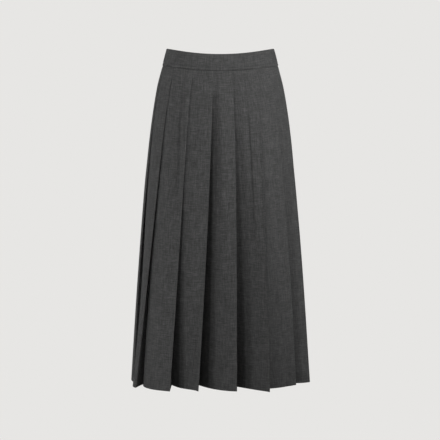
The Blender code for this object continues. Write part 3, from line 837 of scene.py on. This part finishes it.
def zip_slider(material):
    """Slider: a tapered body behind the band, a neck, a face plate and the arch for the pull."""
    back = -BAND_CLOTH - SEAM_GAP
    ends = (SLIDER_BOTTOM, SLIDER_TOP)
    middle, half = sum(ends) / 2.0, (SLIDER_TOP - SLIDER_BOTTOM) / 2.0

    def at_face_corner(place):
        far_out = abs(place.x) > FACE_HALF_WIDTH * NEAR_SIDE
        return far_out and abs(place.z - middle) > half * NEAR_SIDE

    def at_arch_end(place):
        return place.y > ARCH_OUT - ON_MIDDLE and abs(place.x) < ON_MIDDLE

    body = block("zip_slider_cast", BODY_HALF_WIDTH, (back - BODY_THICK, back), ends)
    widen_lower_end(body, BODY_NARROWING)
    select_where(body, "faces", lambda place: abs(place.x) > BODY_HALF_WIDTH * NEAR_SIDE)
    bpy.ops.mesh.inset(thickness=BODY_SIDE_RIM)
    bpy.ops.mesh.extrude_region_shrink_fatten(
        TRANSFORM_OT_shrink_fatten={"value": -BODY_SIDE_HOLLOW}
    )
    soften(body, BODY_SOFT)
    through_seam = (back - NECK_JOINED_IN, SEAM_GAP + NECK_JOINED_IN)
    neck = block("neck", NECK_HALF_WIDTH, through_seam, (NECK_BOTTOM, NECK_TOP))
    face = block("face", FACE_HALF_WIDTH, (SEAM_GAP, FACE_OUT), ends)
    round_edges(face, at_face_corner, FACE_ROUND, steps=5)
    soften(face, FACE_SOFT)
    arch = block("arch", ARCH_HALF_WIDTH, (FACE_OUT - ARCH_JOINED_IN, ARCH_OUT),
                 (ARCH_BOTTOM, ARCH_TOP))
    round_edges(arch, at_arch_end, ARCH_ROUND, steps=6)
    soften(arch, ARCH_SOFT, segments=2)
    opening = block("opening", ARCH_OPENING_HALF_WIDTH, (FACE_OUT, ARCH_IN),
                    (ARCH_BOTTOM + ARCH_LEG, ARCH_TOP - ARCH_LEG))
    cut(arch, opening)
    for part in (neck, face, arch):
        cut(body, part, "UNION")
    finish_metal(body, "zip_slider", "skirt", slider_place(), material)


def zip_pull(material):
    """Pull: a drop-shaped plate with a raised rim, whose window goes round the arch."""
    half = PULL_THICK / 2.0
    end, near_side = -PULL_LENGTH * NEAR_SIDE, PULL_TOP_HALF_WIDTH * NEAR_SIDE
    pull = block("zip_pull_plate", PULL_TOP_HALF_WIDTH, (-half, half), (-PULL_LENGTH, half))
    widen_lower_end(pull, PULL_END_HALF_WIDTH / PULL_TOP_HALF_WIDTH)
    round_edges(pull, lambda place: place.z < end and abs(place.x) > PULL_TOP_HALF_WIDTH,
                PULL_END_ROUND, steps=9)
    round_edges(pull, lambda place: place.z > 0.0 and abs(place.x) > near_side,
                PULL_TOP_ROUND, steps=4)
    select_where(pull, "faces", lambda place: abs(place.y) > half * NEAR_SIDE)
    bpy.ops.mesh.inset(thickness=PULL_RIM)
    bpy.ops.mesh.inset(thickness=PULL_RIM_STEP, depth=-PULL_RIM_HEIGHT)
    bpy.ops.object.mode_set(mode="OBJECT")
    window = block("window", WINDOW_HALF_WIDTH, (-PULL_THICK, PULL_THICK),
                   (-half - WINDOW_LENGTH, -half))
    round_edges(window, lambda place: abs(place.y) < ON_MIDDLE, WINDOW_ROUND, steps=4)
    bpy.ops.object.mode_set(mode="OBJECT")
    cut(pull, window)
    soften(pull, PULL_SOFT, segments=2)
    pull.data.transform(Matrix.Translation((0.0, PIVOT_OUT, PIVOT_UP)))
    finish_metal(pull, "zip_pull", "pull_tab", slider_place(), material)


def zip_stop(material):
    """Bottom stop: a small pressed clamp across both coils."""
    depth = tape_depth(CHAIN_END) - TAPE_CLOTH / 2.0 + STOP_THICK / 2.0
    top, bottom = centre_back(0.0, CHAIN_END, depth), centre_back(0.0, TAPE_END, depth)
    deep, high = STOP_THICK / 2.0, STOP_LENGTH / 2.0
    stop = block("zip_stop_clamp", CHAIN_HALF_WIDTH, (-deep, deep), (-high, high))
    select_where(stop, "faces", lambda place: abs(place.y) > deep * NEAR_SIDE)
    bpy.ops.mesh.inset(thickness=STOP_RIM)
    bpy.ops.mesh.inset(thickness=STOP_STEP, depth=-STOP_STEP)
    soften(stop, STOP_SOFT)
    finish_metal(stop, "zip_stop", "skirt", place_along(top, bottom, SEAM_GAP + high), material)


# Materials. Noise on the weave has so many features a metre across and along the threads.
Noise = namedtuple("Noise", "across along detail seed")
WARP, WEFT = Noise(1500.0, 110.0, 2.0, 3.1), Noise(110.0, 1500.0, 2.0, 7.7)
WARP_SLUBS, WEFT_SLUBS = Noise(560.0, 38.0, 1.5, 12.4), Noise(52.0, 560.0, 1.5, 15.9)
FIBRES, CLOUDY = Noise(640.0, 640.0, 3.0, 21.3), Noise(40.0, 40.0, 2.0, 30.2)
NOISE_ROUGHNESS, SEED_WAY = 0.6, (1.0, 1.7, 0.3)
THREADS_WEIGHT, SLUBS_WEIGHT, FIBRES_WEIGHT, CLOUDY_WEIGHT = 0.7, 0.95, 0.5, 0.25
TONE_DIVISOR = 4.05
TWILL_PITCH, TWILL_TONE, TWILL_RELIEF = 0.0009, 0.012, 0.18
RIB_PITCH, RIB_TONE, HERRINGBONE = 0.0005, 0.15, 0.0011

# Tones of each material, as stops of (position, colour)
WOOL_TONES = (
    (0.37, (0.029, 0.029, 0.029)),
    (0.50, (0.060, 0.060, 0.0595)),
    (0.63, (0.112, 0.112, 0.111)),
)
THREAD_TONES = ((0.35, (0.030, 0.030, 0.031)), (0.65, (0.062, 0.062, 0.063)))
TAPE_TONES = ((0.3, (0.016, 0.016, 0.017)), (0.7, (0.046, 0.046, 0.048)))
COIL_TONES = ((0.3, (0.018, 0.018, 0.020)), (0.7, (0.036, 0.036, 0.039)))
LACQUER_TONES = ((0.35, (0.075, 0.075, 0.080)), (0.70, (0.150, 0.148, 0.150)))
LACQUER_SMOOTHEST, LACQUER_RUBBED = 0.26, 0.22


def new_node(tree, kind, **inputs):
    """A shader node with its inputs, which are named as its sockets are, set or linked."""
    node = tree.nodes.new(f"ShaderNode{kind}")
    give_inputs(node, inputs)
    return node


def give_inputs(node, inputs):
    for name, value in inputs.items():
        socket = node.inputs[name.replace("_", " ")]
        if isinstance(value, bpy.types.NodeSocket):
            node.id_data.links.new(value, socket)
        else:
            socket.default_value = value


def principled(name, **inputs):
    material = bpy.data.materials.new(name)
    material.use_nodes = True
    tree = material.node_tree
    shader = tree.nodes["Principled BSDF"]
    give_inputs(shader, inputs)
    return material, tree, shader


def calculate(operation, first, second=0.0):
    """A sum on one or two values, of which the first is another node's."""
    tree = first.id_data
    node = tree.nodes.new("ShaderNodeMath")
    node.operation = operation
    for socket, value in zip(node.inputs, (first, second)):
        if isinstance(value, float):
            socket.default_value = value
        else:
            tree.links.new(value, socket)
    return node.outputs["Value"]


def weave_noise(tree, weave, kind):
    """Noise on the weave's own distances."""
    seed = [kind.seed * way for way in SEED_WAY]
    scale = (kind.across, kind.along, 1.0)
    place = new_node(tree, "Mapping", Vector=weave, Location=seed, Scale=scale)
    noise = new_node(tree, "TexNoise", Vector=place.outputs["Vector"], Scale=1.0,
                     Detail=kind.detail, Roughness=NOISE_ROUGHNESS)
    return noise.outputs["Fac"]


def object_noise(tree, scale, detail=2.0):
    place = tree.nodes.new("ShaderNodeTexCoord").outputs["Object"]
    noise = new_node(tree, "TexNoise", Vector=place, Scale=scale, Detail=detail)
    return noise.outputs["Fac"]


def weave_distances(tree):
    """The weave's coordinates, and its distances across and along the cloth."""
    place = tree.nodes.new("ShaderNodeUVMap")
    place.uv_map = "weave"
    weave = place.outputs["UV"]
    split = new_node(tree, "SeparateXYZ", Vector=weave)
    return weave, split.outputs["X"], split.outputs["Y"]


def waves(distance, pitch):
    turn = calculate("MULTIPLY", distance, TURN / pitch)
    return calculate("SINE", turn)


def give_tones(shader, factor, stops):
    tree = shader.id_data
    node = new_node(tree, "ValToRGB", Fac=factor)
    elements = node.color_ramp.elements
    while len(elements) < len(stops):
        elements.new(0.5)
    for element, (position, colour) in zip(elements, stops):
        element.position = position
        element.color = (*colour, 1.0)
    tree.links.new(node.outputs["Color"], shader.inputs["Base Color"])


def give_relief(shader, relief, strength, distance):
    tree = shader.id_data
    bump = new_node(tree, "Bump", Strength=strength, Distance=distance, Height=relief)
    tree.links.new(bump.outputs["Normal"], shader.inputs["Normal"])


def wool_suiting():
    """Charcoal melange twill: dark and light fibres, uneven threads both ways, a soft nap."""
    material, tree, shader = principled(
        "charcoal_wool_suiting", Roughness=0.88, Specular_IOR_Level=0.25, Sheen_Weight=0.12,
        Sheen_Roughness=0.55, Sheen_Tint=(0.8, 0.8, 0.8, 1.0)
    )
    weave, across, along = weave_distances(tree)
    warp, weft, warp_slubs, weft_slubs, fibres, cloudy = (
        weave_noise(tree, weave, kind)
        for kind in (WARP, WEFT, WARP_SLUBS, WEFT_SLUBS, FIBRES, CLOUDY)
    )
    threads = calculate("ADD", warp, weft)
    slubs = calculate("ADD", warp_slubs, weft_slubs)
    tone = calculate("MULTIPLY", threads, THREADS_WEIGHT)
    weighted = ((slubs, SLUBS_WEIGHT), (fibres, FIBRES_WEIGHT), (cloudy, CLOUDY_WEIGHT))
    for layer, weight in weighted:
        tone = calculate("ADD", tone, calculate("MULTIPLY", layer, weight))
    twill = waves(calculate("ADD", across, along), TWILL_PITCH)
    tone = calculate("DIVIDE", tone, TONE_DIVISOR)
    tone = calculate("ADD", tone, calculate("MULTIPLY", twill, TWILL_TONE))
    give_tones(shader, tone, WOOL_TONES)
    relief = calculate("ADD", calculate("MULTIPLY", twill, TWILL_RELIEF), threads)
    give_relief(shader, relief, strength=0.45, distance=0.0003)
    return material


def wool_thread():
    """Grey sewing thread, a little darker than the cloth, with its twist as fine relief."""
    material, tree, shader = principled("grey_sewing_thread", Roughness=0.7)
    fuzz = object_noise(tree, scale=900.0)
    give_tones(shader, fuzz, THREAD_TONES)
    give_relief(shader, fuzz, strength=0.4, distance=0.0001)
    return material


def zip_tape_weave():
    """Dark zip tape: a close herringbone in fine ribs along the tape."""
    material, tree, shader = principled("zip_tape_weave", Roughness=0.82)
    _, across, along = weave_distances(tree)
    zigzag = calculate("PINGPONG", across, HERRINGBONE)
    ribs = waves(calculate("ADD", zigzag, along), RIB_PITCH)
    speckle = object_noise(tree, scale=1400.0)
    tone = calculate("ADD", calculate("MULTIPLY", ribs, RIB_TONE), speckle)
    give_tones(shader, tone, TAPE_TONES)
    give_relief(shader, ribs, strength=0.5, distance=0.0001)
    return material


def zip_coil_nylon():
    """Dark nylon coil, slightly cloudy."""
    material, tree, shader = principled("zip_coil_nylon", Roughness=0.38, IOR=1.53)
    cloud = object_noise(tree, scale=320.0)
    give_tones(shader, cloud, COIL_TONES)
    give_relief(shader, cloud, strength=0.1, distance=0.0001)
    return material


def zip_lacquer():
    """Dark satin lacquer on cast metal, with a fine skin and faint rubbed patches."""
    material, tree, shader = principled(
        "zip_dark_lacquer", Metallic=0.75, Coat_Weight=0.3, Coat_Roughness=0.25
    )
    patches = object_noise(tree, scale=260.0, detail=3.0)
    give_tones(shader, patches, LACQUER_TONES)
    rubbed = calculate("MULTIPLY", patches, LACQUER_RUBBED)
    roughness = calculate("ADD", rubbed, LACQUER_SMOOTHEST)
    tree.links.new(roughness, shader.inputs["Roughness"])
    give_relief(shader, object_noise(tree, scale=2600.0), strength=0.12, distance=0.00005)
    return material


def stage_colour(name, colour):
    """A flat pale studio surface that gives off its own even light to the camera alone."""
    material = bpy.data.materials.new(name)
    material.use_nodes = True
    tree = material.node_tree
    tree.nodes.clear()
    glow = new_node(tree, "Emission", Color=(*colour, 1.0))
    new_node(tree, "OutputMaterial", Surface=glow.outputs["Emission"])
    return material


# Studio
PALE = (0.7991, 0.7913, 0.7758)
CAMERA_PLACE = Vector((-0.0008, -3.06, -0.132))
CAMERA_AIM = Vector((-0.0008, 0.0, -0.4103))
LENS, SENSOR = 98.9, 36.0
FLOOR_HEIGHT, ROOM, ROOM_LIGHT = -1.04, 14.0, 0.03

Light = namedtuple("Light", "name place aim size power")
LIGHTS = (
    Light("key", (-0.60, -1.10, 0.70), (0.0, 0.0, -0.2), 0.20, 8.4),
    Light("right_near", (1.10, -0.70, 0.30), (0.0, 0.0, -0.1), 0.80, 13.4),
    Light("right_low", (1.20, -0.70, -0.40), (0.0, 0.0, -0.5), 0.60, 1.4),
    Light("left_side", (-1.50, -0.10, 0.50), (0.0, 0.0, -0.1), 0.50, 4.0),
    Light("left_low", (-1.30, -0.80, -0.40), (0.0, 0.0, -0.5), 0.70, 2.6),
    Light("hem_left", (-0.75, -0.65, -0.80), (-0.1, 0.0, -0.7), 0.30, 1.4),
    Light("front_low", (-0.20, -1.00, -0.95), (0.0, 0.0, -0.6), 0.30, 0.4),
    Light("front_fill", (0.0, -2.40, -0.20), (0.0, 0.0, -0.3), 0.50, 3.4),
    Light("back_soft", (0.30, 2.30, 0.90), (0.0, 0.0, -0.3), 1.4, 30.0),
)


def studio():
    pale = stage_colour("pale_studio", PALE)
    bpy.ops.mesh.primitive_plane_add(size=2.0 * ROOM, location=(0.0, 0.0, FLOOR_HEIGHT))
    floor = bpy.context.object
    floor.name = "studio_floor"
    floor.data.materials.append(pale)
    bpy.ops.mesh.primitive_uv_sphere_add(segments=32, ring_count=16, radius=ROOM)
    backdrop = bpy.context.object
    backdrop.name = "studio_backdrop"
    backdrop.data.materials.append(pale)
    for surface in (floor, backdrop):
        for rays in ("diffuse", "glossy", "shadow", "transmission"):
            setattr(surface, f"visible_{rays}", False)
    world = bpy.data.worlds.new("soft_room")
    world.use_nodes = True
    background = world.node_tree.nodes["Background"]
    background.inputs["Color"].default_value = (1.0, 1.0, 1.0, 1.0)
    background.inputs["Strength"].default_value = ROOM_LIGHT
    bpy.context.scene.world = world
    bpy.context.scene.view_settings.view_transform = "Standard"


def aimed(data, place, aim):
    """Puts a light or the camera at a place, looking at its aim."""
    item = bpy.data.objects.new(data.name, data)
    bpy.context.scene.collection.objects.link(item)
    item.location = place
    item.rotation_euler = (Vector(aim) - Vector(place)).to_track_quat("-Z", "Y").to_euler()
    return item


def soft_light(light):
    data = bpy.data.lights.new(light.name, "AREA")
    data.shape = "DISK"
    data.size = light.size
    data.energy = light.power
    aimed(data, light.place, light.aim)


def camera():
    data = bpy.data.cameras.new("camera")
    data.sensor_width = SENSOR
    data.lens = LENS
    bpy.context.scene.camera = aimed(data, CAMERA_PLACE, CAMERA_AIM)


Part = namedtuple("Part", "name start_deg end_deg first_fold folds")
PARTS = (
    Part("front", -90.0, 90.0, 0, 8),
    Part("back_left", 90.0, 180.0, 8, 4),
    Part("back_right", 180.0, 270.0, 12, 4),
)


def main():
    bpy.ops.object.select_all(action="DESELECT")
    camera()
    studio()
    for light in LIGHTS:
        soft_light(light)
    wool = wool_suiting()
    tape = zip_tape_weave()
    metal = zip_lacquer()
    for part in PARTS:
        waistband(f"waistband_{part.name}", part.start_deg, part.end_deg, wool)
    for part in PARTS:
        skirt_panel(f"skirt_{part.name}", part.first_fold, part.folds, wool)
    topstitching(wool_thread())
    zip_tape("zip_tape_left", 1.0, tape)
    zip_tape("zip_tape_right", -1.0, tape)
    zip_coils(zip_coil_nylon())
    zip_slider(metal)
    zip_pull(metal)
    zip_stop(metal)


main()
